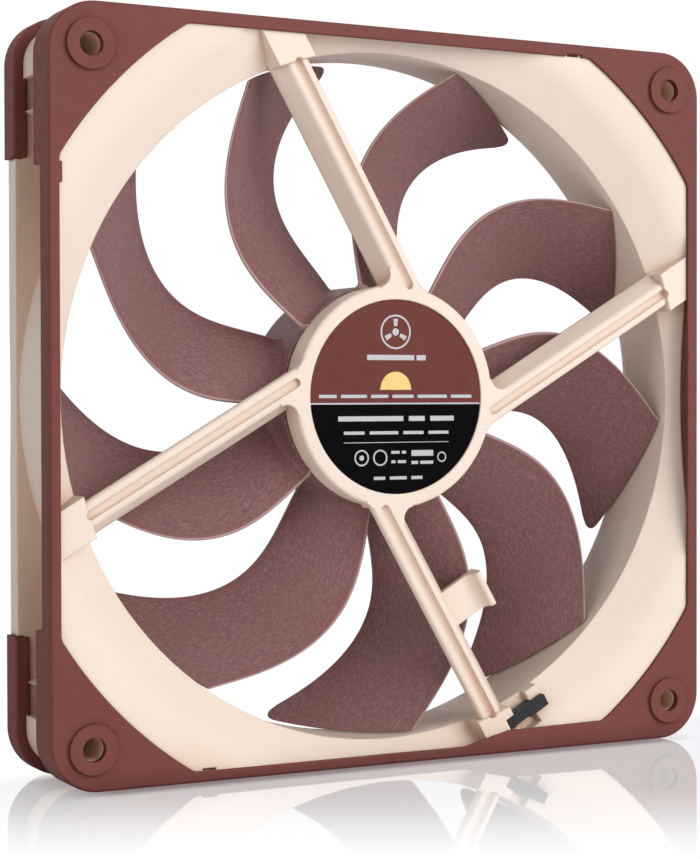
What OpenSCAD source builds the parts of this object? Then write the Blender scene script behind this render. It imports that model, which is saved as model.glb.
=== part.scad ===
// 140 mm axial case fan, outlet side towards -Y, fan axis along Y, +Z up.
// Inside the modules x runs right, y runs up and z runs out of the outlet face;
// upright() turns that into the finished position. Front means the outlet side.

/* [Frame] */
// Half width of the fan over its rubber edging
half_w = 70; // [69.8:0.1:70.4]
// Depth from the front rubber face to the back rubber face, without the raised rings
depth = 25; // [25:0.1:25.6]
// Half the distance between mounting hole centres
hole_half = 62.25; // [61.5:0.25:62.5]
// Radius of the mounting holes
hole_r = 2.15; // [2:0.05:2.4]
// Radius of the tunnel at the blades
throat_r = 66; // [66:0.1:66.4]
// Outer radius of the tunnel wall
tunnel_r = 68.8; // [68.4:0.1:68.9]
// Radius where the outlet cone meets the front face
cone_r = 75; // [74:0.5:76]
// Depth of the outlet cone
cone_d = 5.1; // [4.6:0.1:5.6]
// Thickness of the outlet flange
flange_out_t = 4.2; // [3.8:0.1:4.4]
// Thickness of the inlet flange
flange_in_t = 3.9; // [3.6:0.1:4.2]

/* [Struts and hub] */
// Direction of the first strut, the other three follow at right angles
strut_dir = 30; // [27:0.5:33]
// Offset of the strut centre line from the fan centre
strut_off = 13; // [12.9:0.1:13.1]
// Width of the strut's front face
strut_w = 4.7; // [4.6:0.1:4.8]
// Depth of the strut
strut_d = 4.5; // [4.4:0.1:4.7]
// How far the back of the strut leans to one side
strut_lean = 1.9; // [1.8:0.1:2]
// Outer radius of the hub ring
hub_ring_r = 21.3; // [21.1:0.1:21.5]
// Radius of the label recess
label_r = 18.6; // [18.2:0.1:18.8]

/* [Rubber] */
// Thickness of the rubber over the flange faces
rubber_t = 0.7; // [0.6:0.05:0.9]
// Radius of the outer corners
corner_r = 9; // [8:0.5:10]
// Radius of the concave edge of the corner fields
field_r = 80.2; // [79.8:0.2:81.2]
// Depth of the gasket skirt along the sides
skirt_d = 5; // [4.8:0.1:5.2]
// Depth of the gasket skirt at the corners
corner_skirt_d = 8.5; // [8:0.1:9]
// Depth of the inlet pad skirts
pad_skirt_d = 5.5; // [5.2:0.1:5.8]
// Distance from the centre line where the corner skirts begin
corner_from = 41.4; // [41:0.1:41.8]
// Outer radius of the raised ring around each hole
ring_r = 4.55; // [4:0.05:4.8]
// Height of the raised rings
ring_h = 0.3; // [0.2:0.05:0.5]

/* [Impeller] */
// Number of blades
blades = 9; // [7:1:9]
// Radius of the blade tips
tip_r = 65.6; // [65:0.1:65.6]
// Outer radius of the impeller hub
hub_r = 21.6; // [21.5:0.1:22]
// Largest blade thickness
blade_t = 1.9; // [1.4:0.1:2.2]
// Trailing edge angle at the hub
te_0 = 62.9; // [60:0.1:65]
// Trailing edge angle at a quarter of the span
te_1 = 61.3; // [59:0.1:63]
// Trailing edge angle at half span
te_2 = 56.5; // [55:0.1:58]
// Trailing edge angle at three quarters of the span
te_3 = 46.7; // [45:0.1:48]
// Trailing edge angle at the tip
te_4 = 35.6; // [34:0.1:37]
// Leading edge angle at the hub
le_0 = 30.2; // [29:0.1:32]
// Leading edge angle at a quarter of the span
le_1 = 35.1; // [34:0.1:36]
// Leading edge angle at half span
le_2 = 33.6; // [32:0.1:35]
// Leading edge angle at three quarters of the span
le_3 = 24.6; // [23:0.1:26]
// Leading edge angle at the tip
le_4 = 12.7; // [11:0.1:14]
// Depth of the trailing edge behind the frame face
te_depth = 6.6; // [6.5:0.05:7]
// Depth of the leading edge behind the frame face at the hub
le_root_depth = 14.4; // [13.5:0.1:16]
// Depth of the leading edge behind the frame face at the tip
le_tip_depth = 22.8; // [21:0.1:23]
// Camber of the blade section
camber = 0.17; // [0.1:0.01:0.25]

/* [Motor] */
// Shaft radius
shaft_r = 1.5; // [1.4:0.05:1.6]
// Radial running clearance between shaft and sleeve
run_gap = 0.02; // [0.01:0.01:0.05]
// Radius of the stator over its pole faces
stator_r = 16.3; // [16:0.05:16.4]
// Number of stator poles and coils
poles = 4; // [4:1:4]
// Radial gap between the stator and the ring magnet
air_gap = 0.6; // [0.5:0.05:0.8]

/* [Lead] */
// Diameter of one insulated wire
wire_d = 0.72; // [0.7:0.01:0.76]
// Distance between neighbouring wires
wire_pitch = 0.8; // [0.79:0.01:0.83]

/* [Hidden] */
$fn = 120;

// Levels along z
front = depth / 2 - rubber_t;           // front plastic face
back = -depth / 2 + rubber_t;           // back plastic face
outlet_inner = front - flange_out_t;    // inner side of the outlet flange
inlet_inner = back + flange_in_t;       // inner side of the inlet flange
strut_front = front - 0.6;              // front of the struts and of the hub ring
strut_back = front - strut_d;
label_floor = front - 1.2;              // floor of the label recess
cup_floor = front - 2.4;                // underside of the hub floor
cup_rim = front - 5.8;                  // rim of the hub cup
tube_end = front - 18.4;                // back end of the bearing shell
rotor_top = front - 6.4;                // rim of the impeller hub
rotor_end = front - 23.3;               // closed end of the impeller hub
rotor_floor = rotor_end + 1.5;          // inside of that closed end

// Radii
cup_r = 19.2;                           // inside of the hub cup
tube_out = 4.8;                         // bearing tube of the frame
tube_in = 3.8;
hub_in = 19.7;                          // inside of the impeller hub

lead_dir = strut_dir + 270;             // direction of the strut that carries the lead
pad_from = corner_from + 2.5;           // where the inlet pads begin
corner_rubber = 2;                      // rubber around the frame's corners

// ---------- helpers ----------
module upright() rotate([90, 0, 0]) children();
module disc(z, radius, height) translate([0, 0, z]) cylinder(r = radius, h = height);
module box(corner, size) translate(corner) cube(size);
module layer(z, height) translate([0, 0, z]) linear_extrude(height) children();
// Extrudes an outline drawn in y and z along x.
module along_x(start, length) translate(start) rotate([90, 0, 90])
    linear_extrude(length) children();
module quarter_turns(start = 0) for (k = [0:3]) rotate(start + 90 * k) children();
module at_holes() for (x = [-1, 1], y = [-1, 1])
    translate([x * hole_half, y * hole_half, 0]) children();
function arc(center, radius, from, to, steps) = [
    for (i = [0:steps])
        let (a = from + (to - from) * i / steps)
        center + radius * [cos(a), sin(a)]];

// ---------- outlines ----------
module round_square(half, radius) {
    inner = half - radius;
    square([2 * half, 2 * inner], center = true);
    square([2 * inner, 2 * half], center = true);
    for (x = [-1, 1], y = [-1, 1]) translate([x * inner, y * inner]) circle(r = radius);
}
module rubber_outline() round_square(half_w, corner_r);
module body_outline() round_square(half_w - corner_rubber, corner_r - corner_rubber);
// Frame body widened along its sides, up to the corner rubber.
module flange_outline(side_rubber, from) {
    width = 2 * (half_w - side_rubber);
    length = 2 * from - 0.2;
    body_outline();
    square([width, length], center = true);
    square([length, width], center = true);
}
module outlet_outline() flange_outline(side_rubber = 1.2, from = corner_from);
module inlet_outline() flange_outline(side_rubber = 0.7, from = pad_from);

// ---------- frame ----------
inlet_round = 5.3;                      // rounding of the inlet edge

// Shape of the air passage: outlet cone, throat and rounded inlet.
module passage() rotate_extrude() polygon(concat(
    [[0, front + 1],
     [cone_r + (cone_r - throat_r) / cone_d, front + 1],
     [throat_r, front - cone_d]],
    arc([throat_r + inlet_round, back + inlet_round], inlet_round, 180, 270, 9),
    [[throat_r + inlet_round, back - 1], [0, back - 1]]));

// Struts are drawn running along x; right and left are as seen from the front, looking outwards.
strut_right = -strut_off - strut_w / 2; // edges of the strut's front face
strut_left = -strut_off + strut_w / 2;
foot_right = -16.6;                     // sides of the strut foot
foot_left = -9.0;
foot_back = front - cone_d - 0.4;
foot_x = 60;                            // inner end of the feet and the pads beside them
fillet_r = 2.3;                         // between the strut and the hub ring
groove_r = 1;
groove_half_w = 0.85;
groove_from = 17.3;
groove_length = 47;

module strut_section() polygon(concat(
    [[strut_right + 0.7 * strut_lean, strut_back], [strut_left + strut_lean, strut_back]],
    arc([strut_left - 1, strut_front - 1], 1, 26, 90, 5),
    arc([strut_right + 0.7, strut_front - 0.7], 0.7, 90, 180, 4),
    [[strut_right - 0.1, strut_front - 1.1]]));

// Fillet on the right (-1) or left (1) of the strut.
module strut_fillet(side) {
    y = -strut_off + side * (strut_w / 2 - 0.05 + fillet_r);
    x = sqrt(pow(hub_ring_r + fillet_r, 2) - y * y);
    layer(strut_back, strut_front - front + strut_d) polygon(concat(
        arc([x, y], fillet_r, 180 + 90 * side, atan2(-y, -x), 7),
        [[x * 0.86, y * 0.86], [min(15.5, x - 1), -strut_off], [x, -strut_off]]));
}
module strut() {
    along_x([13, 0, 0], 54) strut_section();
    for (side = [-1, 1]) strut_fillet(side);
}
// Blocks left standing in the outlet cone at the strut ends, and low pads beside one of them.
module strut_feet() {
    quarter_turns(strut_dir)
        box([foot_x, foot_right, foot_back], [40, foot_left - foot_right, cone_d + 0.4]);
    rotate(lead_dir) {
        box([foot_x, foot_left - 0.5, foot_back], [12, 6, 1.4]);
        box([foot_x, -3.6, foot_back], [14, 3, 3]);
    }
}
// Round-bottomed groove along the front of each strut.
module groove() intersection() {
    translate([15, -strut_off, strut_front + 0.1]) rotate([0, 90, 0])
        cylinder(r = groove_r, h = 52);
    layer(strut_front - 2, 4) {
        translate([groove_from, -strut_off - groove_half_w])
            square([groove_length, 2 * groove_half_w]);
        for (x = [groove_from, groove_from + groove_length])
            translate([x, -strut_off]) circle(r = groove_half_w);
    }
}
// Guide hook for the lead on the side of one strut.
module guide_hook() along_x([38.7, 0, 0], 7.5) polygon(concat(
    [[-10.5, strut_back], [-0.8, strut_back]],
    arc([-1.5, front - 1.4], 0.7, 0, 180, 6),
    arc([-3.9, front - 1.5], 1.7, 0, -90, 6),
    [[-10.5, front - 3.2]]));

// Extrudes an outline from flange to flange, running into both.
module between_flanges() layer(inlet_inner - 0.5, outlet_inner - inlet_inner + 1) children();
module corner_post() {
    between_flanges() intersection() {
        body_outline();
        union() {
            translate([58.4, 58.4]) square(20);
            rotate(45) translate([tunnel_r - 1, -1]) square([12, 2]);
        }
    }
    // small wedge ribs on both sides of the post
    for (m = [0, 1]) mirror([m, -m, 0]) between_flanges() polygon([
        [half_w - 2.2, 52.4], [half_w - 9, 55.4], [half_w - 11.8, 51.8], [half_w - 9, 49.4]]);
}

// Flanges, tunnel wall and corner posts with the air passage cut through.
module housing() difference() {
    union() {
        layer(outlet_inner, flange_out_t) outlet_outline();
        layer(back, flange_in_t) inlet_outline();
        disc(back + 1, tunnel_r, front - back - 2);
        quarter_turns() corner_post();
    }
    difference() {
        passage();
        strut_feet();
    }
    disc(back + 2, throat_r - 0.1, depth);
}
module hub_blank() rotate_extrude() polygon(concat(
    [[0, cup_rim], [hub_ring_r, cup_rim]],
    arc([hub_ring_r - 0.7, strut_front - 0.7], 0.7, 0, 90, 5),
    [[0, strut_front]]));
// Label recess, and the inside of the hub cup around and within the bearing tube.
module hub_hollows() {
    disc(label_floor, label_r, 5);
    difference() {
        disc(cup_rim - 3, cup_r, cup_floor - cup_rim + 3);
        disc(cup_rim - 4, tube_out, 12);
    }
    disc(cup_rim - 4, tube_in, cup_floor - cup_rim + 4);
}
channel_y = -13.55;
channel_w = 3.5;
module lead_cuts() {
    // wire channel along the back of one strut and out through the tunnel wall
    box([11.5, channel_y, strut_back - 1], [51.7, channel_w, strut_d - 1.7]);
    box([63, channel_y, front - 4.9], [3.8, channel_w, 2.2]);
    box([65, channel_y, front - 6.5], [8.5, channel_w, 1.8]);
    // lead notch beside the strut foot, and the seat of the clip
    box([60.5, foot_left - 0.1, front - 3.4], [12, 5.5, 6]);
    box([67.1, -11.1, front - 2.6], [2.8, 7, 6]);
}

module frame() color([0.93, 0.86, 0.79]) upright() difference() {
    union() {
        housing();
        quarter_turns(strut_dir) strut();
        rotate(lead_dir) guide_hook();
        hub_blank();
    }
    hub_hollows();
    quarter_turns(strut_dir) groove();
    at_holes() disc(back - 1, hole_r, depth);
    // narrow slots beside the gasket
    quarter_turns() box([38.2, half_w - 2.45, outlet_inner - 1], [2.8, 0.5, 8]);
    rotate(lead_dir) lead_cuts();
}

// ---------- rubber ----------
corner_zone = 40;                       // size of the square that picks out one corner
// Rubber left standing in the gasket opening, right of the middle of the bottom side.
bottom_tab = [
    [14.5, -half_w], [14.5, -half_w + 2.2], [24.5, -half_w + 4.4],
    [46, -half_w + 4.7], [46, -half_w]];

module gasket_opening() difference() {
    intersection() {
        translate([-0.25, -0.25]) square(2 * (half_w - 2.25), center = true);
        circle(r = field_r);
    }
    polygon(bottom_tab);
}
module corner_band() difference() {
    rubber_outline();
    body_outline();
}
module outlet_gasket() color([0.53, 0.32, 0.30]) upright() difference() {
    union() {
        layer(front, rubber_t) difference() {
            rubber_outline();
            gasket_opening();
        }
        layer(front - skirt_d + rubber_t, skirt_d - rubber_t) difference() {
            rubber_outline();
            outlet_outline();
        }
        layer(front - corner_skirt_d + rubber_t, corner_skirt_d - rubber_t) intersection() {
            corner_band();
            for (x = [-1, 1], y = [-1, 1])
                translate((corner_from + corner_zone / 2) * [x, y])
                    square(corner_zone, center = true);
        }
        at_holes() disc(front + rubber_t - 0.05, ring_r, ring_h + 0.05);
    }
    at_holes() disc(front - 1, hole_r, 3);
}

module pad_zone() translate([pad_from, pad_from]) square(corner_zone);
// Pad over the back of one corner, turned into place from the top right.
module inlet_pad(turn) color([0.40, 0.24, 0.23]) upright() rotate(turn) difference() {
    union() {
        layer(back - rubber_t, rubber_t) intersection() {
            difference() {
                rubber_outline();
                circle(r = 78.6);
            }
            pad_zone();
        }
        layer(back, pad_skirt_d - rubber_t) intersection() {
            corner_band();
            pad_zone();
        }
        translate([hole_half, hole_half, back - rubber_t - ring_h])
            cylinder(r = ring_r, h = ring_h + 0.05);
    }
    translate([hole_half, hole_half, back - 3]) cylinder(r = hole_r, h = 4);
}
module inlet_pad_top_right() inlet_pad(0);
module inlet_pad_top_left() inlet_pad(90);
module inlet_pad_bottom_left() inlet_pad(180);
module inlet_pad_bottom_right() inlet_pad(270);

module hub_label() color([0.42, 0.20, 0.18]) upright() disc(label_floor, label_r - 0.15, 0.3);

// ---------- bearing ----------
bore_r = 3.2;                           // inside of the bearing shell
insert_r = bore_r - 0.05;               // thrust disc and magnet inside it

// Metal tube fixed in the hub floor; it carries the sleeve inside and the stator outside.
module bearing_shell() color([0.80, 0.66, 0.40]) upright() difference() {
    union() {
        disc(tube_end, tube_in, cup_floor - tube_end);
        disc(tube_end, tube_out - 0.05, cup_rim - 0.05 - tube_end);
    }
    disc(tube_end - 1, bore_r, cup_floor - tube_end);
}
module sleeve_bearing() color([0.62, 0.50, 0.38]) upright() difference() {
    disc(tube_end + 0.3, bore_r - 0.02, 11.1);
    disc(tube_end - 1, shaft_r + run_gap, 20);
}
module thrust_disc() color([0.90, 0.90, 0.86]) upright()
    disc(cup_floor - 1.75, insert_r, 0.7);
module stabiliser_magnet() color([0.35, 0.35, 0.38]) upright() difference() {
    disc(cup_floor - 3.4, insert_r, 1.6);
    disc(cup_floor - 4, 1.9, 3);
}

// ---------- stator ----------
core_top = front - 9.3;
core_bot = front - 15.3;
mid_core = (core_top + core_bot) / 2;
arm_w = 3.6;                            // width of the core's arms
pole_half_angle = 37;
bobbin_floor = 2.96;                    // inside of a half bobbin, above its open side
pin_z = mid_core + 3.97;                // foot of the terminal pins

module at_poles() for (k = [0:poles - 1]) rotate(360 / poles * k) children();
module at_pins(z) quarter_turns(45) translate([6.35, 0, z]) children();

module pole_face() intersection() {
    difference() {
        circle(r = stator_r);
        circle(r = 14.9);
    }
    polygon([[0, 0], [20, -20 * tan(pole_half_angle)], [20, 20 * tan(pole_half_angle)]]);
}
module stator_core() color([0.45, 0.46, 0.48]) upright()
    layer(core_bot, core_top - core_bot) difference() {
        union() {
            circle(r = 7);
            at_poles() {
                translate([0, -arm_w / 2]) square([15.5, arm_w]);
                pole_face();
            }
        }
        circle(r = tube_out);
    }

// Half bobbin: a plate over the core, side cheeks along the arms and end walls.
module half_bobbin() difference() {
    union() {
        cylinder(r = 7.3, h = 3.9);
        at_poles() {
            box([5, -2.5, 0], [9.5, 5, 3.65]);
            box([14.1, -5.6, bobbin_floor], [0.75, 11.2, 3]);
        }
    }
    layer(-1, 1 + bobbin_floor) difference() {
        union() {
            circle(r = 7.02);
            at_poles() translate([0, -arm_w / 2 - 0.02]) square([16, arm_w + 0.04]);
        }
        circle(r = 1);
    }
    disc(-1, tube_out + 0.4, 8);
}
module front_insulator() color([0.15, 0.15, 0.16]) upright()
    translate([0, 0, mid_core + 0.06]) half_bobbin();
module back_insulator() color([0.15, 0.15, 0.16]) upright()
    translate([0, 0, mid_core - 0.06]) mirror([0, 0, 1]) half_bobbin();

module stator_coils() color([0.75, 0.42, 0.22]) upright() at_poles() difference() {
    along_x([7.6, 0, mid_core], 6.3) flat_bar(9.2, 11.4, 1);
    box([7, -2.55, mid_core - 3.78], [8, 5.1, 7.56]);
}
module terminal_pins() color([0.80, 0.78, 0.72]) upright()
    at_pins(pin_z) cylinder(r = 0.3, h = cup_floor - 0.4 - pin_z);

// Rectangle with rounded corners.
module flat_bar(width, height, radius) {
    square([width, height - 2 * radius], center = true);
    square([width - 2 * radius, height], center = true);
    for (x = [-1, 1], y = [-1, 1])
        translate([x * (width / 2 - radius), y * (height / 2 - radius)]) circle(r = radius);
}

// ---------- electronics ----------
board_top = front - 3.2;
board_bot = front - 4.2;                // the parts sit on this side
part_angles = [70, 84, 150, 164, 200, 214, 238, 340, 354, 8];

module circuit_board() color([0.10, 0.32, 0.20]) upright() difference() {
    disc(board_bot, 17.8, board_top - board_bot);
    disc(board_bot - 1, 5.2, 4);
    at_pins(board_bot - 1) cylinder(r = 0.38, h = 4);
}
module driver_chip() color([0.08, 0.08, 0.09]) upright()
    translate([0, 0, board_bot - 1.05]) rotate(118) {
        box([8.6, -2.5, 0], [4, 5, 0.95]);
        // two rows of legs
        for (x = [7.7, 12.5], i = [0:3]) box([x, -2.1 + 1.27 * i, 0.7], [1, 0.4, 0.33]);
    }
module hall_sensor() color([0.12, 0.12, 0.13]) upright()
    rotate(45) box([13.2, -1.5, board_bot - 1.0], [1.6, 3, 0.98]);
module board_components() color([0.72, 0.62, 0.48]) upright()
    for (a = part_angles) rotate(a) box([10.6, -0.4, board_bot - 0.72], [1.6, 0.8, 0.7]);

// ---------- lead ----------
module lead_clip() color([0.18, 0.19, 0.20]) upright() rotate(lead_dir) {
    box([67.2, -11, front - 2.5], [2.6, 6.4, 1.6]);
    box([67.6, -6.1, front - 3.3], [2.3, 2.4, 2.4]);
    box([67.9, -5.6, front - 2.3], [2.3, 4.8, 1.5]);
}

wire_mid = -11.8;                       // y of the middle of the wires beside the strut
wire_z = front - 3.3;
sleeve_z = wire_z - 2.4;
wire_bend = 1.6;                        // bend radius where the wires change height
turn_along = 68;                        // strut frame: centre of the turn outside the tunnel
turn_across = -8.6;
turn_angle = 90 - strut_dir;            // brings the wires parallel to the bottom side
wire_tail = 8.2;                        // straight length after the turn

// Corners of the wires' centreline in the plane of the strut: [distance along it, height]
wire_path = [
    [12.6, wire_z - 1.3], [16.8, wire_z - 1.3], [19.2, wire_z],
    [64.3, wire_z], [66.3, sleeve_z], [turn_along, sleeve_z]];
function heading(k) =
    let (step = wire_path[k + 1] - wire_path[k])
    atan2(step[1], step[0]);

// A station is [point, direction, true where the wire turns flat on the sleeve's plane].
// Stations around corner k of the path, for a wire lying at y.
function corner_stations(k, y) =
    let (before = heading(k - 1),
         after = heading(k),
         bend = after > before ? wire_bend : -wire_bend,
         cut = wire_bend * abs(tan((after - before) / 2)),
         center = wire_path[k] + cut * [cos(after), sin(after)]
             + bend * [-sin(after), cos(after)])
    [for (i = [0:4])
        let (a = before + (after - before) * i / 4)
        [[center[0] + bend * sin(a), y, center[1] - bend * cos(a)],
         [cos(a), 0, sin(a)], false]];
// Station in the flat turn at angle a, moved on by the length past.
function turn_station(a, y, past) =
    let (radius = turn_across - y)
    [[turn_along + radius * sin(a) + past * cos(a),
      y + radius * (1 - cos(a)) + past * sin(a), sleeve_z],
     [cos(a), sin(a), 0], true];
function wire_stations(y) = concat(
    [[[wire_path[0][0], y, wire_path[0][1]], [1, 0, 0], false]],
    [for (k = [1:4]) each corner_stations(k, y)],
    [for (i = [0:7]) turn_station(turn_angle * i / 7, y, 0)],
    [turn_station(turn_angle, y, wire_tail)]);

ring_points = 12;
function wire_ring(station) =
    let (ahead = station[1],
         aside = station[2] ? cross([0, 0, 1], ahead) : [0, 1, 0],
         across = cross(ahead, aside))
    [for (j = [0:ring_points - 1])
        let (a = 360 / ring_points * j)
        station[0] + wire_d / 2 * (cos(a) * aside + sin(a) * across)];
module wire(y) {
    stations = wire_stations(y);
    last = len(stations) - 1;
    caps = [
        [for (j = [0:ring_points - 1]) j],
        [for (j = [ring_points - 1:-1:0]) ring_points * last + j]];
    sides = [
        for (k = [0:last - 1], j = [0:ring_points - 1])
            let (here = ring_points * k, there = here + ring_points, next = (j + 1) % ring_points)
            [here + j, there + j, there + next, here + next]];
    polyhedron([for (station = stations) each wire_ring(station)], concat(caps, sides));
}
module lead_wires() color([0.16, 0.16, 0.17]) upright() rotate(lead_dir)
    for (i = [0:3]) wire(wire_mid + (i - 1.5) * wire_pitch);

// Centre of the turn in the fan's frame, and the height of the wires after it
turn_x = turn_along * cos(lead_dir) - turn_across * sin(lead_dir);
turn_y = turn_along * sin(lead_dir) + turn_across * cos(lead_dir);
wire_y = turn_y - (turn_across - wire_mid);

// Flat sleeve over the wires outside the tunnel, running along the bottom to the connector.
module lead_sleeve() color([0.10, 0.10, 0.11]) upright()
    along_x([turn_x + 0.8, wire_y, sleeve_z], 7.9) difference() {
        flat_bar(4.1, 1.5, 0.4);
        flat_bar(3.45, 0.92, 0.25);
    }

plug_x = turn_x + 8.8;
plug_y = -half_w + 2.15;
contact_pitch = 2;
function contact_y(i) = plug_y + 1.2 + contact_pitch * i;
module connector_housing() color([0.09, 0.09, 0.10]) upright() difference() {
    box([plug_x, plug_y, sleeve_z - 4.9], [12, 8.4, 5.8]);
    for (i = [0:3]) box([plug_x + 1.5, contact_y(i) - 0.75, sleeve_z - 3.2], [12, 1.5, 1.8]);
    // two shallow channels along the front
    for (i = [0, 1]) box([plug_x - 1, plug_y + 1.1 + 3.8 * i, sleeve_z + 0.4], [14, 2.4, 1]);
}
module connector_contacts() color([0.82, 0.72, 0.45]) upright()
    for (i = [0:3]) translate([plug_x + 2, contact_y(i) - 0.65, sleeve_z - 3.05]) difference() {
        cube([7.4, 1.3, 1.5]);
        box([3, 0.3, 0.35], [6, 0.7, 0.8]);
    }

// ---------- impeller ----------
te_angles = [te_0, te_1, te_2, te_3, te_4];
le_angles = [le_0, le_1, le_2, le_3, le_4];
root_r = 22;                            // radius where the span is 0
edge_half_t = 0.28;                     // half thickness at the trailing edge
hub_round = 2;

// Stations from root to tip (the first inside the hub) and from trailing to leading edge
spans = [-0.028, 0.06, 0.15, 0.25, 0.35, 0.45, 0.55, 0.65, 0.74, 0.83, 0.92, 1];
chords = [0, 0.06, 0.2, 0.4, 0.6, 0.8, 0.94, 1];

// Value at s of the smooth curve through five values spread evenly from 0 to 1.
function curve5(values, s) =
    let (x = 4 * s)
    values[0] * (x - 1) * (x - 2) * (x - 3) * (x - 4) / 24
    - values[1] * x * (x - 2) * (x - 3) * (x - 4) / 6
    + values[2] * x * (x - 1) * (x - 3) * (x - 4) / 4
    - values[3] * x * (x - 1) * (x - 2) * (x - 4) / 6
    + values[4] * x * (x - 1) * (x - 2) * (x - 3) / 24;
function blade_r(span) = root_r + (tip_r - root_r) * span;
te_z = front - te_depth;
function le_z(span) = front - le_root_depth
    - (le_tip_depth - le_root_depth) * (1.1 * span - 0.1 * span * span);
// Point on the blade's middle surface.
function mid_point(span, chord) =
    let (a = curve5(te_angles, span) * (1 - chord) + curve5(le_angles, span) * chord,
         rise = chord + camber * chord * (1 - chord))
    [blade_r(span) * cos(a), blade_r(span) * sin(a), te_z + (le_z(span) - te_z) * rise];
function face_normal(span, chord) =
    let (point = mid_point(span, chord),
         normal = cross(mid_point(span + 0.01, chord) - point,
                        mid_point(span, chord + 0.01) - point))
    normal / norm(normal);
function half_t(chord) = edge_half_t + 0.06 * chord
    + (blade_t / 2 - edge_half_t) * pow(sin(180 * pow(chord, 0.9)), 0.7);
// Moves a point towards or away from the axis onto the given radius.
function on_radius(point, radius) =
    let (scaling = radius / norm([point[0], point[1]]))
    [point[0] * scaling, point[1] * scaling, point[2]];

// Each span station is a loop: along one face of the blade and back along the other.
module blade() {
    count = len(chords);
    loop = 2 * count;
    points = [
        for (span = spans, j = [0:loop - 1])
            let (first_face = j < count,
                 chord = chords[first_face ? j : loop - 1 - j],
                 offset_t = (first_face ? 1 : -1) * half_t(chord))
            on_radius(mid_point(span, chord) + offset_t * face_normal(span, chord),
                      blade_r(span))];
    skin = [
        for (i = [0:len(spans) - 2], j = [0:loop - 1])
            let (here = i * loop + j, next = i * loop + (j + 1) % loop)
            each [[here, next, next + loop], [here, next + loop, here + loop]]];
    root_cap = [
        for (j = [0:count - 2])
            each [[j, loop - 1 - j, j + 1], [j + 1, loop - 1 - j, loop - 2 - j]]];
    tip_start = (len(spans) - 1) * loop;
    tip_cap = [for (f = root_cap) [tip_start + f[0], tip_start + f[2], tip_start + f[1]]];
    polyhedron(points = points, faces = concat(skin, root_cap, tip_cap), convexity = 6);
}
module impeller() color([0.45, 0.31, 0.31]) upright() difference() {
    union() {
        rotate_extrude() polygon(concat(
            [[0, rotor_top], [hub_r, rotor_top]],
            arc([hub_r - hub_round, rotor_end + hub_round], hub_round, 0, -90, 6),
            [[0, rotor_end]]));
        for (k = [0:blades - 1]) rotate(360 / blades * k) blade();
    }
    disc(rotor_floor, hub_in, 40);
}

// ---------- rotor ----------
fit = 0.02;                             // clearance between parts fitted together
yoke_t = 1;                             // thickness of the steel cup
yoke_in = hub_in - yoke_t;
boss_r = 4;

module rotor_yoke() color([0.62, 0.64, 0.66]) upright() difference() {
    disc(rotor_floor + fit, hub_in - fit, rotor_top - 0.4 - rotor_floor - fit);
    disc(rotor_floor + yoke_t, yoke_in, 40);
    disc(rotor_end, boss_r + 0.05, 6);
}
module ring_magnet() color([0.25, 0.25, 0.27]) upright() difference() {
    disc(rotor_end + 4.5, yoke_in - fit, 12);
    disc(rotor_end + 3, stator_r + air_gap, 20);
}
module shaft_boss() color([0.80, 0.66, 0.36]) upright() difference() {
    disc(rotor_floor + fit, boss_r, 2.9);
    disc(rotor_end, shaft_r, 8);
}
// Shaft with a groove for the retaining clip near its front end.
module rotor_shaft() color([0.78, 0.79, 0.80]) upright() difference() {
    disc(rotor_floor + 0.05, shaft_r, cup_floor - 1.85 - rotor_floor - 0.05);
    translate([0, 0, cup_floor - 4.35]) difference() {
        cylinder(r = 3, h = 0.5);
        disc(-1, 1.1, 3);
    }
}
module retaining_clip() color([0.85, 0.85, 0.82]) upright()
    translate([0, 0, cup_floor - 4.3]) difference() {
        cylinder(r = 2.7, h = 0.4);
        disc(-1, 1.12, 3);
        box([0, -0.9, -1], [4, 1.8, 3]);
    }

frame();
outlet_gasket();
inlet_pad_top_left();
inlet_pad_top_right();
inlet_pad_bottom_left();
inlet_pad_bottom_right();
hub_label();
bearing_shell();
sleeve_bearing();
thrust_disc();
stabiliser_magnet();
stator_core();
front_insulator();
back_insulator();
stator_coils();
terminal_pins();
circuit_board();
driver_chip();
hall_sensor();
board_components();
lead_clip();
lead_wires();
lead_sleeve();
connector_housing();
connector_contacts();
impeller();
rotor_yoke();
ring_magnet();
shaft_boss();
rotor_shaft();
retaining_clip();
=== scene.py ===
"""A square axial fan: beige frame, nine-blade impeller, rubber gasket and pads, hub label, leads.

The part's own axes are in millimetres: x right, y up, z towards the outlet, with the fan's axis
along z. In the scene, in metres, the outlet faces -Y and the fan stands on a white floor.
The impeller, gasket, pads and label are built here; the other pieces are the CAD meshes.
"""

import math
from functools import cached_property

import bpy
import bmesh
import numpy as np
from mathutils import Matrix, Vector
from mathutils.geometry import tessellate_polygon

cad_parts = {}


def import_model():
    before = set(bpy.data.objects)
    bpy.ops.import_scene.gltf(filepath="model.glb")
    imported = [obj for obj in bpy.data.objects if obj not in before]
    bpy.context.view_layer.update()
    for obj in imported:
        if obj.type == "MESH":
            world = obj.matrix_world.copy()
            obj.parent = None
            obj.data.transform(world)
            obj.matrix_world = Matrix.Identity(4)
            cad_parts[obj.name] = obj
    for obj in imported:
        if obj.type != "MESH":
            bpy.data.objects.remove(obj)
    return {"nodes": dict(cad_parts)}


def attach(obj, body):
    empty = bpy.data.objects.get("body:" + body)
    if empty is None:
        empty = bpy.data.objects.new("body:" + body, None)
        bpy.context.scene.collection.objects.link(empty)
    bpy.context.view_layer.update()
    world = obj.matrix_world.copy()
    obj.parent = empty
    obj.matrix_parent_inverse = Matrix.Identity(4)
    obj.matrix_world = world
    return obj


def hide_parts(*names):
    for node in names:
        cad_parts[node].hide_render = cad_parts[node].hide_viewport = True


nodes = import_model()["nodes"]
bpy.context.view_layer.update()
scene = bpy.context.scene
MM = 0.001

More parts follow.
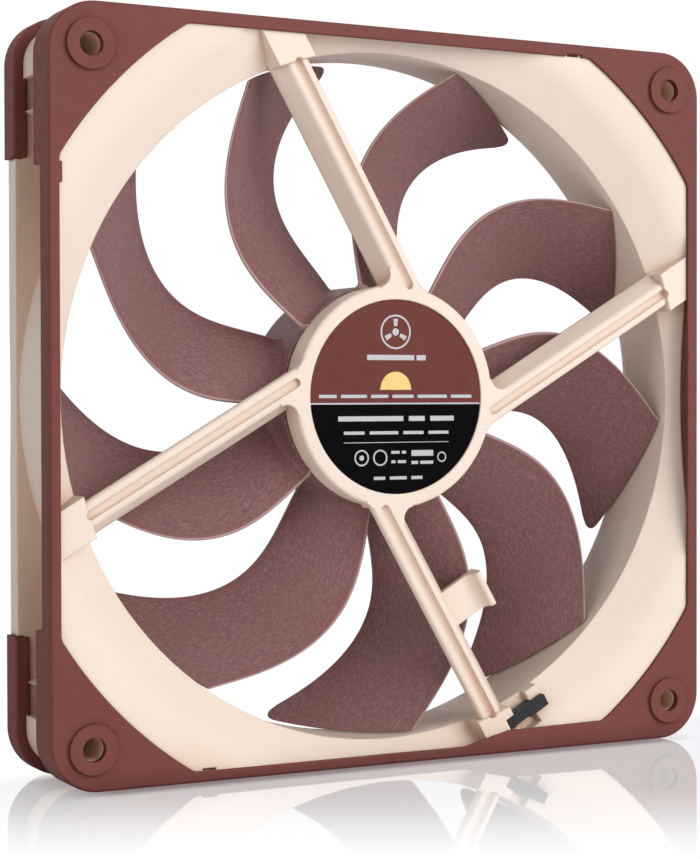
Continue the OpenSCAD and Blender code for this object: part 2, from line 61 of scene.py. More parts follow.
# frame sizes, in millimetres
OUTLET_FACE = 11.8
INLET_FACE = -OUTLET_FACE
HALF = 70.0             # half the side of the square
CORNER_R = 9.0
HOLE = 62.25            # screw holes, from the axis in x and in y
RUBBER = 0.7            # rubber standing on either face


# ------------------------------------------------------------------ shader nodes
def srgb(*channels):
    """8-bit sRGB to linear."""
    def linear(value):
        value = value / 255.0
        return value / 12.92 if value <= 0.04045 else ((value + 0.055) / 1.055) ** 2.4
    return tuple(linear(value) for value in channels)


def shade(color, factor):
    return tuple(min(1.0, c * factor) for c in color)


def put(target, value):
    """Links a socket to an input, or sets the input's value; colours gain an alpha of 1."""
    if isinstance(value, bpy.types.NodeSocket):
        target.id_data.links.new(value, target)
    elif target.type == "RGBA":
        target.default_value = (*value, 1.0)
    else:
        target.default_value = value


class Nodes:
    """The node tree of a material or world. Most methods add a node and return its output."""

    def __init__(self, owner):
        self.owner = owner
        owner.use_nodes = True
        self.tree = owner.node_tree
        self.tree.nodes.clear()

    def add(self, kind, inputs=None):
        node = self.tree.nodes.new("ShaderNode" + kind)
        for key, value in (inputs or {}).items():
            put(node.inputs[key], value)
        return node

    @cached_property
    def coord(self):
        return self.add("TexCoord").outputs["Object"]

    def stretch(self, scale, source=None):
        node = self.add("Mapping", {"Scale": scale, "Vector": source or self.coord})
        return node.outputs["Vector"]

    def noise(self, scale, detail=2.0, roughness=0.55, vector=None):
        node = self.add("TexNoise", {"Scale": scale, "Detail": detail, "Roughness": roughness,
                                     "Vector": vector or self.coord})
        return node.outputs["Fac"]

    def ramp(self, value, *colors, at=(0.3, 0.7)):
        """Colours at the given positions; the usual two cover most of a noise's range."""
        node = self.add("ValToRGB", {"Fac": value})
        elements = node.color_ramp.elements
        while len(elements) < len(colors):
            elements.new(0.5)
        for element, position, color in zip(elements, at, colors):
            element.position = position
            element.color = (*color, 1.0)
        return node.outputs["Color"]

    def remap(self, value, to, span=(0.3, 0.7), smooth=False):
        """Carries the range span onto the range to."""
        node = self.add("MapRange", {"Value": value, "From Min": span[0], "From Max": span[1],
                                     "To Min": to[0], "To Max": to[1]})
        if smooth:
            node.interpolation_type = "SMOOTHSTEP"
        return node.outputs["Result"]

    def mix(self, factor, first, second):
        node = self.add("Mix")
        node.data_type = "RGBA"
        put(node.inputs["Factor"], factor)
        put(node.inputs[6], first)      # inputs 6 and 7 and output 2 are the colours
        put(node.inputs[7], second)
        return node.outputs[2]

    def math(self, operation, *values):
        node = self.add("Math", dict(enumerate(values)))
        node.operation = operation
        return node.outputs[0]

    def hollows(self, distance, span):
        """1 in closed-in places and 0 in the open."""
        node = self.add("AmbientOcclusion", {"Distance": distance})
        node.samples = 8
        return self.remap(node.outputs["AO"], to=(1.0, 0.0), span=span)

    def bevel(self, radius, samples=4):
        node = self.add("Bevel", {"Radius": radius})
        node.samples = samples
        return node.outputs["Normal"]

    def bump(self, height, strength, distance, normal=None):
        node = self.add("Bump", {"Strength": strength, "Distance": distance, "Height": height})
        if normal is not None:
            put(node.inputs["Normal"], normal)
        return node.outputs["Normal"]

    def mix_shader(self, factor, first, second):
        return self.add("MixShader", {0: factor, 1: first, 2: second}).outputs[0]

    def principled(self, inputs):
        return self.add("BsdfPrincipled", inputs).outputs["BSDF"]

    def show(self, shader, output="OutputMaterial"):
        self.add(output, {"Surface": shader})

    def surface(self, inputs):
        """Ends a material with one Principled shader and returns the material."""
        self.show(self.principled(inputs))
        return self.owner


def new_material(name):
    return Nodes(bpy.data.materials.new(name))


# ------------------------------------------------------------------ materials
def plain(name, color, rough=0.45, metal=0.0, vary=0.06, scale=700.0, grain=0.00002,
          soft=0.00012, spec=0.5):
    """A mottled colour (vary) with a bump (grain, metres) and softened edges (soft, metres)."""
    m = new_material(name)
    mottle = m.noise(scale=scale, detail=4.0)
    color = m.ramp(mottle, shade(color, 1 - vary), shade(color, 1 + vary))
    wander = m.noise(scale=scale * 0.2)
    roughness = m.remap(wander, to=(rough - 0.06, rough + 0.06))
    fine = m.noise(scale=scale * 5)
    return m.surface({
        "Base Color": color,
        "Roughness": roughness,
        "Metallic": metal,
        "Specular IOR Level": spec,
        "Normal": m.bump(fine, strength=0.4, distance=grain,
                         normal=m.bevel(radius=soft) if soft else None),
    })


def beige_plastic():
    m = new_material("beige_plastic")
    cloud = m.ramp(m.noise(scale=28.0, detail=3.0), (0.88, 0.75, 0.65), (0.91, 0.785, 0.69))
    speck = m.ramp(m.noise(scale=2600.0), (0.74, 0.58, 0.45), (0.93, 0.80, 0.69),
                   at=(0.35, 0.65))
    color = m.mix(0.10, cloud, speck)
    # closed-in places take on a warmer tone, as light bounces about in them
    hollow = m.hollows(distance=0.026, span=(0.36, 0.80))
    color = m.mix(hollow, color, (0.74, 0.53, 0.41))
    roughness = m.remap(m.noise(scale=350.0, detail=4.0), to=(0.40, 0.52))
    fine = m.noise(scale=3500.0)
    wave = m.noise(scale=260.0)
    fine_share, wave_share = 0.35, 1.0
    height = m.math("ADD", m.math("MULTIPLY", fine, fine_share),
                    m.math("MULTIPLY", wave, wave_share))
    return m.surface({
        "Base Color": color,
        "Roughness": roughness,
        "Specular IOR Level": 0.22,
        "Subsurface Weight": 0.12,
        "Subsurface Radius": (1.0, 0.6, 0.4),
        "Subsurface Scale": 0.0008,
        "Normal": m.bump(height, strength=0.25, distance=0.00002,
                         normal=m.bevel(radius=0.0005, samples=6)),
    })


def brown_rubber():
    m = new_material("brown_rubber")
    brown = (0.178, 0.0505, 0.0435)
    cloud = m.ramp(m.noise(scale=45.0, detail=3.0), shade(brown, 0.93), shade(brown, 1.07))
    speck = m.ramp(m.noise(scale=3800.0), shade(brown, 0.75), shade(brown, 1.3))
    color = m.mix(0.25, cloud, speck)
    # painted shade: closed-in places, such as creases and the foot of each raised ring, are
    # darkened
    crease_shade = m.hollows(distance=0.006, span=(0.30, 0.90))
    crease_shade_color = tuple(c * k for c, k in zip(brown, (0.42, 0.30, 0.28)))
    color = m.mix(crease_shade, color, crease_shade_color)
    roughness = m.remap(m.noise(scale=500.0, detail=3.0), to=(0.55, 0.66))
    return m.surface({
        "Base Color": color,
        "Roughness": roughness,
        "Specular IOR Level": 0.22,
        "Normal": m.bump(m.noise(scale=5200.0), strength=0.35, distance=0.000025),
    })


def fibre_plastic():
    """Fibre-filled brown plastic: streaks along the blade, specks, redder edges, painted edge
    highlight.
    """
    m = new_material("fibre_filled_plastic")
    attribute = m.add("Attribute")
    attribute.attribute_name = "grain"
    grain = attribute.outputs["Vector"]
    streak = m.noise(scale=1.0, detail=4.0, roughness=0.7,
                     vector=m.stretch((1.0, 2.6, 1.0), grain))
    speck = m.noise(scale=4.2, detail=3.0, roughness=0.7,
                    vector=m.stretch((1.0, 1.4, 1.0), grain))
    cloud = m.noise(scale=0.09, detail=3.0, roughness=0.5, vector=grain)
    streaks = m.ramp(streak, (0.108, 0.046, 0.046), (0.200, 0.093, 0.092),
                     (0.350, 0.190, 0.188), at=(0.36, 0.50, 0.64))
    specks = m.ramp(speck, (0.108, 0.046, 0.047), (0.340, 0.178, 0.178), at=(0.38, 0.62))
    color = m.mix(0.45, streaks, specks)
    color = m.mix(m.remap(cloud, to=(0.0, 0.40), span=(0.35, 0.7)), color,
                  (0.237, 0.090, 0.081))
    # the third component of the grain rises to 1 at the blade's edges
    nearness = m.add("SeparateXYZ", {0: grain}).outputs[2]
    edge = m.remap(nearness, to=(0.0, 0.5), span=(0.55, 1.0))
    # painted highlight: a thin light line along the very edge of each blade
    rim = m.remap(nearness, to=(0.0, 0.75), span=(0.955, 0.98))
    color = m.mix(edge, color, (0.215, 0.078, 0.071))
    color = m.mix(rim, color, (0.47, 0.33, 0.31))
    share = 0.6     # of each noise in the relief
    height = m.math("ADD", m.math("MULTIPLY", streak, share), m.math("MULTIPLY", speck, share))
    return m.surface({
        "Base Color": color,
        "Roughness": m.remap(speck, to=(0.42, 0.56)),
        "Specular IOR Level": 0.38,
        "Sheen Weight": 0.05,
        "Normal": m.bump(height, strength=0.35, distance=0.00006),
    })


def brushed(name, color, rough):
    """Brushed metal, with one noise for the streaks of colour, roughness and relief."""
    m = new_material(name)
    streak = m.noise(scale=900.0, detail=3.0, roughness=0.6,
                     vector=m.stretch((1.0, 12.0, 1.0)))
    return m.surface({
        "Base Color": m.ramp(streak, shade(color, 0.86), shade(color, 1.1)),
        "Metallic": 1.0,
        "Roughness": m.remap(streak, to=(rough - 0.08, rough + 0.1)),
        "Normal": m.bump(streak, strength=0.2, distance=0.00001,
                         normal=m.bevel(radius=0.00015)),
    })


MATERIALS = {
    "frame": beige_plastic(),
    "rubber": brown_rubber(),
    "fibre": fibre_plastic(),
    "label_brown": plain("label_brown", color=srgb(104, 48, 41), rough=0.5, vary=0.10,
                         scale=2500.0, soft=0.0, spec=0.18),
    "label_black": plain("label_black", color=(0.0016, 0.0016, 0.0022), rough=0.6, vary=0.2,
                         scale=900.0, soft=0.0, spec=0.03),
    "print_silver": plain("print_silver", color=srgb(176, 176, 180), metal=0.2, vary=0.08,
                          scale=4000.0, soft=0.0),
    "print_gold": plain("print_gold", color=srgb(214, 178, 108), rough=0.4, metal=0.3,
                        vary=0.08, scale=4000.0, soft=0.0),
    "brass": brushed("brass", color=(0.72, 0.53, 0.26), rough=0.28),
    "sintered_bronze": plain("sintered_bronze", color=(0.34, 0.22, 0.12), rough=0.5,
                             metal=1.0, vary=0.15, scale=4000.0),
    "white_plastic": plain("white_plastic", color=(0.78, 0.78, 0.74), rough=0.4),
    "magnet": plain("magnet", color=(0.035, 0.035, 0.04), rough=0.55, vary=0.2,
                    scale=3000.0),
    "lamination": brushed("lamination", color=(0.36, 0.37, 0.39), rough=0.38),
    "black_plastic": plain("black_plastic", color=(0.014, 0.014, 0.015), rough=0.42,
                           vary=0.2),
    "copper": brushed("copper_wire", color=(0.72, 0.30, 0.13), rough=0.32),
    "tinned": brushed("tinned", color=(0.70, 0.70, 0.68), rough=0.3),
    "board": plain("board", color=(0.012, 0.075, 0.035), rough=0.35, vary=0.25,
                   scale=260.0),
    "chip": plain("chip", color=(0.012, 0.012, 0.013), rough=0.5, vary=0.15),
    "ceramic_part": plain("ceramic_part", color=(0.42, 0.30, 0.18), rough=0.5),
    "clip": plain("clip_plastic", color=(0.013, 0.0145, 0.019), rough=0.42, vary=0.12,
                  scale=1500.0, soft=0.0002, spec=0.3),
    "wire": plain("wire_insulation", color=(0.016, 0.016, 0.018), vary=0.2),
    "sleeve": plain("sleeve", color=(0.010, 0.010, 0.011), rough=0.7, vary=0.3,
                    scale=2600.0, grain=0.00008),
    "steel": brushed("steel", color=(0.56, 0.57, 0.58), rough=0.3),
    "polished_steel": brushed("polished_steel", color=(0.66, 0.66, 0.67), rough=0.16),
}


# ------------------------------------------------------------------ mesh helpers
class Builder:
    """Collects rings of points, in part axes, and the faces between them."""

    def __init__(self):
        self.points, self.faces, self.slots, self.grain = [], [], [], []

    def ring(self, points, z=None, grain=None):
        """Adds points (x, y, z), or (x, y) at one z, and returns their numbers."""
        first = len(self.points)
        for p in points:
            height = p[2] if z is None else z
            self.points.append((p[0] * MM, -height * MM, p[1] * MM))
        self.grain += grain or []
        return list(range(first, len(self.points)))

    def face(self, corners, slot=0):
        self.faces.append(tuple(corners))
        self.slots.append(slot)

    def skin(self, rings, flip=False, slot=0):
        """Joins each closed ring to the next with quads."""
        for near, far in zip(rings, rings[1:]):
            a, b = (far, near) if flip else (near, far)
            for i in range(len(a)):
                j = (i + 1) % len(a)
                self.face((a[i], a[j], b[j], b[i]), slot)

    def fill(self, rings, to_outlet, slot=0):
        """Flat face between an outer ring and the rings of its holes."""
        numbers = [i for ring in rings for i in ring]
        flat = [[Vector((self.points[i][0], self.points[i][2], 0)) for i in ring]
                for ring in rings]
        for triangle in tessellate_polygon(flat):
            a, b, c = (numbers[k] for k in triangle)
            pa, pb, pc = self.points[a], self.points[b], self.points[c]
            area = (pb[0] - pa[0]) * (pc[2] - pa[2]) - (pb[2] - pa[2]) * (pc[0] - pa[0])
            if abs(area) < 1e-16:
                continue
            # a triangle that is counter-clockwise along +Y faces the outlet side
            self.face((a, b, c) if (area > 0) == to_outlet else (a, c, b), slot)

    def make(self, name, materials, sharp_angle=35.0, weighted=True):
        """Makes the object; a sharp_angle of None leaves it flat shaded."""
        mesh = bpy.data.meshes.new(name)
        mesh.from_pydata(self.points, [], self.faces)
        mesh.validate(clean_customdata=False)
        for material in materials:
            mesh.materials.append(material)
        # validate may have dropped faces, and then the slots no longer line up
        if len(mesh.polygons) == len(self.slots):
            mesh.polygons.foreach_set("material_index", self.slots)
        if self.grain:
            attribute = mesh.attributes.new("grain", "FLOAT_VECTOR", "POINT")
            attribute.data.foreach_set("vector", np.array(self.grain, np.float32).ravel())
        bm = bmesh.new()
        bm.from_mesh(mesh)
        if sharp_angle is not None:
            for face in bm.faces:
                face.smooth = True
            limit = math.radians(sharp_angle)
            for edge in bm.edges:
                if len(edge.link_faces) == 2 and edge.calc_face_angle(0.0) > limit:
                    edge.smooth = False
        # only after the sharp edges are marked, as their angles depend on the winding
        bmesh.ops.recalc_face_normals(bm, faces=bm.faces)
        bm.to_mesh(mesh)
        bm.free()
        ob = bpy.data.objects.new(name, mesh)
        scene.collection.objects.link(ob)
        if weighted:
            modifier = ob.modifiers.new("even_normals", "WEIGHTED_NORMAL")
            modifier.keep_sharp = True
            modifier.weight = 80
        return ob


def register(ob, carrier, stands_for=None):
    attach(ob, carrier)
    if stands_for:
        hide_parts(stands_for)


def offset(points, distance):
    """Moves a closed loop to its left by a distance: one number, or one per point."""
    n = len(points)
    if isinstance(distance, (int, float)):
        distance = [distance] * n
    moved = []
    for i in range(n):
        x, y = points[i]
        ux, uy = x - points[i - 1][0], y - points[i - 1][1]
        wx, wy = points[(i + 1) % n][0] - x, points[(i + 1) % n][1] - y
        u_length = math.hypot(ux, uy) or 1e-9
        w_length = math.hypot(wx, wy) or 1e-9
        u_normal = (-uy / u_length, ux / u_length)
        w_normal = (-wy / w_length, wx / w_length)
        mx, my = u_normal[0] + w_normal[0], u_normal[1] + w_normal[1]
        m_length = math.hypot(mx, my) or 1e-9
        mx, my = mx / m_length, my / m_length
        # keeps sharp corners from shooting out
        cosine = max(0.35, mx * u_normal[0] + my * u_normal[1])
        moved.append((x + mx * distance[i] / cosine, y + my * distance[i] / cosine))
    return moved


def circle(radius, n, cx=0.0, cy=0.0, clockwise=False):
    angles = [2 * math.pi * i / n for i in range(n)]
    points = [(cx + radius * math.cos(a), cy + radius * math.sin(a)) for a in angles]
    return points[::-1] if clockwise else points


def arc(cx, cy, radius, start, end, steps):
    """Points from angle start to angle end, in degrees."""
    angles = [math.radians(start + (end - start) * i / steps) for i in range(steps + 1)]
    return [(cx + radius * math.cos(a), cy + radius * math.sin(a)) for a in angles]


def rounding(steps):
    """(1 - sin, 1 - cos) over a quarter turn: the two setbacks of a rounded edge."""
    angles = [math.pi / 2 * i / steps for i in range(steps + 1)]
    return [(1 - math.sin(a), 1 - math.cos(a)) for a in angles]


def quarter_turn(x, y, k):
    """Turns a point counter-clockwise by k quarter turns."""
    c, s = ((1, 0), (0, 1), (-1, 0), (0, -1))[k]
    return x * c - y * s, x * s + y * c


def slab(build, outer, holes, top, bottom, rim=0.0, steps=1, slot=0):
    """Plate with rounded top rims: outer loop counter-clockwise, holes clockwise."""
    tops, bottoms = [], []
    rows = [(rim * a, top - rim * b) for a, b in rounding(steps)] + [(0.0, bottom)]
    if rim <= 0:
        rows = rows[steps:]
    for points in [outer] + holes:
        rings = [build.ring(offset(points, inset), z) for inset, z in rows]
        build.skin(rings, flip=True, slot=slot)
        tops.append(rings[0])
        bottoms.append(rings[-1])
    build.fill(tops, True, slot)
    build.fill(bottoms, False, slot)


# ------------------------------------------------------------------ impeller
BLADES = 9
HUB_R, TIP_R = 21.6, 65.6
ROOT_R = 22.0                       # radius at span 0
ROTOR_TOP, ROTOR_END = OUTLET_FACE - 6.4, OUTLET_FACE - 23.3
# angles of the blade's two edges, in degrees, at five even stations from root to tip
TRAILING = [62.9, 61.3, 56.5, 46.7, 35.6]
LEADING = [30.2, 35.1, 33.6, 24.6, 12.7]
# depths below the outlet face: trailing edge, leading edge at the root and at the tip
TRAILING_DEPTH, LEADING_ROOT_DEPTH, LEADING_TIP_DEPTH = 6.6, 14.4, 22.8
CHORD_POINTS = 40
EDGE_STEPS = 6                      # round each of the two edges
TIP_ROUND = 0.32
ROOT_FILLET = 1.3
CORNER_CHORD, CORNER_SPAN = 0.12, 0.07      # rounded corner at tip and leading edge
FIRST_SPANS = [-0.028, -0.010, 0.0, 0.006, 0.012, 0.018, 0.025, 0.034]
HUB_GRAIN_SHIFT, HUB_NEARNESS = 400.0, 0.15


def through_five(a, s):
    """The quartic through five even stations, at span s from 0 to 1."""
    x = 4 * s
    return (a[0] * (x - 1) * (x - 2) * (x - 3) * (x - 4) / 24
            - a[1] * x * (x - 2) * (x - 3) * (x - 4) / 6
            + a[2] * x * (x - 1) * (x - 3) * (x - 4) / 4
            - a[3] * x * (x - 1) * (x - 2) * (x - 4) / 6
            + a[4] * x * (x - 1) * (x - 2) * (x - 3) / 24)


def blade_r(s):
    return ROOT_R + (TIP_R - ROOT_R) * s


def mid_point(s, t):
    """Middle surface at span s and chord t, from 0 at the trailing to 1 at the leading edge."""
    angle = np.radians(through_five(TRAILING, s) * (1 - t) + through_five(LEADING, s) * t)
    trailing_z = OUTLET_FACE - TRAILING_DEPTH
    leading_z = (OUTLET_FACE - LEADING_ROOT_DEPTH
                 - (LEADING_TIP_DEPTH - LEADING_ROOT_DEPTH) * (1.1 * s - 0.1 * s * s))
    r = blade_r(s)
    z = trailing_z + (leading_z - trailing_z) * (t + 0.17 * t * (1 - t))
    return np.stack([r * np.cos(angle), r * np.sin(angle), z], -1)


def blade_normal(s, t):
    p = mid_point(s, t)
    cross = np.cross(mid_point(s + 0.01, t) - p, mid_point(s, t + 0.01) - p)
    return cross / np.linalg.norm(cross, axis=-1, keepdims=True)


def blade_section(span, thinning):
    """Closed section at one span: its points, and its grain (span, chord, edge nearness)."""
    t = (1 - np.cos(np.pi * np.arange(CHORD_POINTS) / (CHORD_POINTS - 1))) / 2
    t = 0.5 * t + 0.5 * np.linspace(0, 1, CHORD_POINTS)
    if span > 0:
        into_corner = np.clip((t - (1 - CORNER_CHORD)) / CORNER_CHORD, 0, 1)
        s = span * (1 - CORNER_SPAN * (1 - np.sqrt(1 - into_corner * into_corner)))
    else:
        s = np.full(CHORD_POINTS, span)
    r = blade_r(s)
    # half thickness: thin edges, a fuller middle and a fillet at the hub
    bulge = np.power(np.clip(np.sin(np.pi * np.power(t, 0.9)), 0, 1), 0.7)
    half = 0.28 + (0.95 - 0.28) * bulge + 0.06 * t
    near = np.clip(r - HUB_R, 0.0, ROOT_FILLET)
    drop = np.sqrt(np.maximum(ROOT_FILLET ** 2 - (ROOT_FILLET - near) ** 2, 0))
    half = (np.maximum(half - thinning, 0.03)
            + np.where(r - HUB_R < ROOT_FILLET, ROOT_FILLET - drop, 0.0))

    mid = mid_point(s, t)
    normal = blade_normal(s, t)
    upper = mid + normal * half[:, None]
    lower = mid - normal * half[:, None]
    along = s * (TIP_R - ROOT_R)
    chord = np.concatenate([[0], np.cumsum(np.linalg.norm(np.diff(mid, axis=0), axis=1))])
    total = chord[-1]
    nearness = np.maximum(1 - np.minimum(chord, total - chord) / 6.0, 0)

    def round_edge(end, neighbour, side):
        """Points round one edge, starting from the upper side (1) or the lower (-1)."""
        outward = mid[end] - mid[neighbour]
        outward /= np.linalg.norm(outward)
        points = []
        for i in range(1, EDGE_STEPS):
            angle = side * (math.pi / 2 - math.pi * i / EDGE_STEPS)
            points.append(mid[end] + normal[end] * half[end] * math.sin(angle)
                          + outward * (0.55 * min(half[end], 0.4)) * math.cos(angle))
        return points

    edge_points = EDGE_STEPS - 1
    lower_shift = 90    # keeps the lower side's grain apart from the upper's
    points = np.array([*upper, *round_edge(-1, -2, 1), *lower[::-1], *round_edge(0, 1, -1)])
    grain = list(zip(along, chord, nearness))
    grain += [(along[-1], total, 1.0)] * edge_points
    grain += list(zip(along + lower_shift, chord, nearness))[::-1]
    grain += [(along[0], 0.0, 1.0)] * edge_points
    # brings every point back to its station's radius
    radii = np.concatenate([r, np.full(edge_points, r[-1]), r[::-1],
                            np.full(edge_points, r[0])])
    scale = radii / np.linalg.norm(points[:, :2], axis=1)
    points[:, 0] *= scale
    points[:, 1] *= scale
    return points, grain


def close_tip(build, ring):
    """Quads between the two sides of the last section, and fans at its two edges."""
    lower_start = CHORD_POINTS + EDGE_STEPS - 1
    lower_end = lower_start + CHORD_POINTS
    upper = ring[:CHORD_POINTS]
    lower = ring[lower_start:lower_end][::-1]
    for j in range(CHORD_POINTS - 1):
        build.face((upper[j], lower[j], lower[j + 1], upper[j + 1]))
    for fan in (ring[CHORD_POINTS - 1:lower_start + 1], ring[lower_end - 1:] + [ring[0]]):
        for j in range(1, len(fan) - 1):
            build.face((fan[0], fan[j + 1], fan[j]))


def add_blades(build):
    rows = [(s, 0.0) for s in FIRST_SPANS + list(np.linspace(0.05, 0.985, 52))]
    rows += [(1 - TIP_ROUND * a / (TIP_R - ROOT_R), TIP_ROUND * b) for a, b in rounding(5)]
    sections = [blade_section(*row) for row in rows]
    for blade in range(BLADES):
        a = math.radians(360 / BLADES * blade)
        turn = np.array([[math.cos(a), -math.sin(a), 0], [math.sin(a), math.cos(a), 0],
                         [0, 0, 1]])
        shift = 137.0 * blade       # gives each blade its own streaks
        rings = [build.ring(points @ turn.T, grain=[(u + shift, v, e) for u, v, e in grain])
                 for points, grain in sections]
        build.skin(rings)
        close_tip(build, rings[-1])


def add_hub(build):
    """A turned cup: inside wall, open rim at the outlet, outside wall and closed end."""
    # (radius, z)
    profile = [(19.72, ROTOR_END + 1.6), (19.72, ROTOR_TOP - 0.25), (19.85, ROTOR_TOP - 0.06),
               (20.05, ROTOR_TOP), (20.9, ROTOR_TOP)]
    profile += [(HUB_R - 0.5 + 0.5 * math.sin(a), ROTOR_TOP - 0.5 + 0.5 * math.cos(a))
                for a in np.linspace(0, math.pi / 2, 7)]
    profile += [(HUB_R, ROTOR_END + 6), (HUB_R, ROTOR_END + 3.0)]
    profile += [(HUB_R - 2 + 2 * math.cos(a), ROTOR_END + 2 - 2 * math.sin(a))
                for a in np.linspace(0.02, math.pi / 2, 12)]
    # the closed end, with a shallow ring and a recessed middle: (radius, depth of recess)
    recess = [(15.2, 0), (14.8, 0.12), (14.6, 0.35), (13.4, 0.35), (13.2, 0.12), (12.8, 0),
              (3.4, 0), (3.1, 0.1), (2.9, 0.3), (0.6, 0.3), (0.4, 0.12)]
    profile += [(radius, ROTOR_END + depth) for radius, depth in recess]
    rings = []
    for radius, z in profile:
        points = circle(radius, 180)
        if z < ROTOR_END + 1.0:
            grain = [(x + HUB_GRAIN_SHIFT, y, HUB_NEARNESS) for x, y in points]
        else:
            grain = [(math.atan2(y, x) * HUB_R + HUB_GRAIN_SHIFT, z, HUB_NEARNESS)
                     for x, y in points]
        rings.append(build.ring(points, z, grain))
    build.skin(rings)
    centre, = build.ring([(0, 0)], profile[-1][1], [(HUB_GRAIN_SHIFT, 0.0, HUB_NEARNESS)])
    last = rings[-1]
    for i in range(len(last)):
        build.face((last[(i + 1) % len(last)], last[i], centre))


def impeller():
    build = Builder()
    add_blades(build)
    add_hub(build)
    ob = build.make("impeller_moulding", [MATERIALS["fibre"]], sharp_angle=50, weighted=False)
    register(ob, "rotor", stands_for="impeller")


impeller()


# ------------------------------------------------------------------ rubber round the flanges
CORNER = arc(HALF - CORNER_R, HALF - CORNER_R, CORNER_R, 0, 90, 20)


def screw_hole(build, cx, cy, face, back, height, side):
    """Hole with a raised ring on the face; side is 1 at the outlet, -1 at the inlet.

    Returns its first and last rings.
    """
    outer, bore = 4.55, 2.15
    outer_round, bore_round = 0.14, 0.2
    crest = face + side * height
    profile = [(outer + 0.10, face), (outer + 0.03, face + side * 0.03),
               (outer, face + side * 0.10), (outer, crest - side * outer_round)]
    profile += [(outer - outer_round * (1 - math.cos(a)),
                 crest - side * outer_round * (1 - math.sin(a)))
                for a in np.linspace(0.4, math.pi / 2, 4)]
    profile += [(bore + bore_round * a, crest - side * bore_round * b) for a, b in rounding(4)]
    profile += [(bore, back)]
    rings = [build.ring(circle(r, 56, cx, cy, clockwise=True), z) for r, z in profile]
    build.skin(rings, flip=side > 0)
    return rings[0], rings[-1]


# ------------------------------------------------------------------ outlet gasket
GASKET_TOP = OUTLET_FACE + RUBBER
OPENING_R = 80.2
OPENING_SIDES = [67.5, 67.5, 68.0, 68.0]    # right, top, left, bottom, from the axis
OPENING_STEPS = [0.0, 0.5, -0.5, 0.0]       # a short stretch of each side, moved outwards
# wider band at the bottom right, (x, y), which replaces the edge between two x
BAND_FROM, BAND_TO, BAND_BELOW = 14.4, 46.9, -64.0
BAND = [(14.5, -67.95), (17.0, -67.3), (20.0, -66.6), (24.5, -65.6), (30.0, -65.5),
        (38.0, -65.4), (45.2, -65.3), (46.3, -65.35)]


def gasket_outline():
    """Outer loop, counter-clockwise from the middle of the right side.

    Returns its points, and the z of the skirt's free edge and the skirt's thickness at each.
    """
    shallow, deep = GASKET_TOP - 5.0, GASKET_TOP - 8.5
    thin, thick = 1.2, 2.0
    # (distance from the middle of the side, z, thickness)
    side = [(y, shallow, thin) for y in (0.0, 13.0, 26.0, 38.5, 41.15)]
    for i in range(6):
        y = 41.30 + 0.0525 * math.sin(math.pi / 2 * i / 5) + 0.02 * i
        z = shallow - (shallow - deep) * (0.06 + 0.88 * i / 5)
        side.append((y, z, thin + 0.8 * i / 5))
    side += [(y, deep, thick) for y in (41.60, 43.2, 50.0, 57.0)]
    quarter = [(HALF, y, z, t) for y, z, t in side]
    quarter += [(x, y, deep, thick) for x, y in CORNER]
    quarter += [(x, HALF, z, t) for x, z, t in side[:0:-1]]
    points = [quarter_turn(x, y, k) for k in range(4) for x, y, _, _ in quarter]
    return points, [q[2] for q in quarter] * 4, [q[3] for q in quarter] * 4


def gasket_opening():
    """Inner loop, clockwise: a circle cut off by four sides."""
    points = []
    for k in range(4):
        edge, next_edge = OPENING_SIDES[k], OPENING_SIDES[(k + 1) % 4]
        half = math.sqrt(OPENING_R * OPENING_R - edge * edge)
        next_half = math.sqrt(OPENING_R * OPENING_R - next_edge * next_edge)
        part = [(edge, y) for y in np.linspace(-half + 0.4, half - 0.4, 12)]
        step = OPENING_STEPS[k]
        if step:
            part = [p for p in part if not -41.6 < p[1] < -37.6]
            part += [(edge, -41.5), (edge + step, -41.4), (edge + step, -37.8), (edge, -37.7)]
            part.sort(key=lambda p: p[1])
        start = math.degrees(math.atan2(half, edge))
        end = math.degrees(math.atan2(next_edge, next_half))
        part += arc(0, 0, OPENING_R, start + 0.35, end - 0.35, 24)
        points += [quarter_turn(x, y, k) for x, y in part]
    points = [p for p in points if not (p[1] < BAND_BELOW and BAND_FROM < p[0] < BAND_TO)]
    # the loop is still counter-clockwise, so the bottom side runs left to right
    before = next(i for i, p in enumerate(points)
                  if p[1] < BAND_BELOW and p[0] <= BAND_FROM
                  and points[(i + 1) % len(points)][0] >= BAND_TO)
    points[before + 1:before + 1] = BAND
    return points[::-1]


def outlet_gasket():
    build = Builder()
    outer, free_z, thickness = gasket_outline()
    n = len(outer)
    top_round, free_round, opening_round = 0.55, 0.3, 0.22
    # (inset, z) of every point, from the top down the skirt and back up its inside
    rows = [([top_round * a] * n, [GASKET_TOP - top_round * b] * n) for a, b in rounding(6)]
    rows += [([free_round * b] * n, [z + free_round * a for z in free_z])
             for a, b in rounding(4)]
    rows += [([t - free_round * a for t in thickness], [z + free_round * b for z in free_z])
             for a, b in rounding(4)]
    rows.append((thickness, [OUTLET_FACE] * n))
    rings = [build.ring([(x, y, z) for (x, y), z in zip(offset(outer, inset), heights)])
             for inset, heights in rows]
    build.skin(rings, flip=True)
    tops, bottoms = [rings[0]], [rings[-1]]

    opening = gasket_opening()
    rows = [(opening_round * a, GASKET_TOP - opening_round * b) for a, b in rounding(4)]
    rows.append((0.0, OUTLET_FACE))
    rings = [build.ring(offset(opening, inset), z) for inset, z in rows]
    build.skin(rings, flip=True)
    tops.append(rings[0])
    bottoms.append(rings[-1])

    for sx in (-1, 1):
        for sy in (-1, 1):
            top, bottom = screw_hole(build, sx * HOLE, sy * HOLE, face=GASKET_TOP,
                                     back=OUTLET_FACE, height=0.72, side=1)
            tops.append(top)
            bottoms.append(bottom)
    build.fill(tops, True)
    build.fill(bottoms, False)
    ob = build.make("outlet_gasket_moulding", [MATERIALS["rubber"]])
    register(ob, "frame_body", stands_for="outlet_gasket")


outlet_gasket()

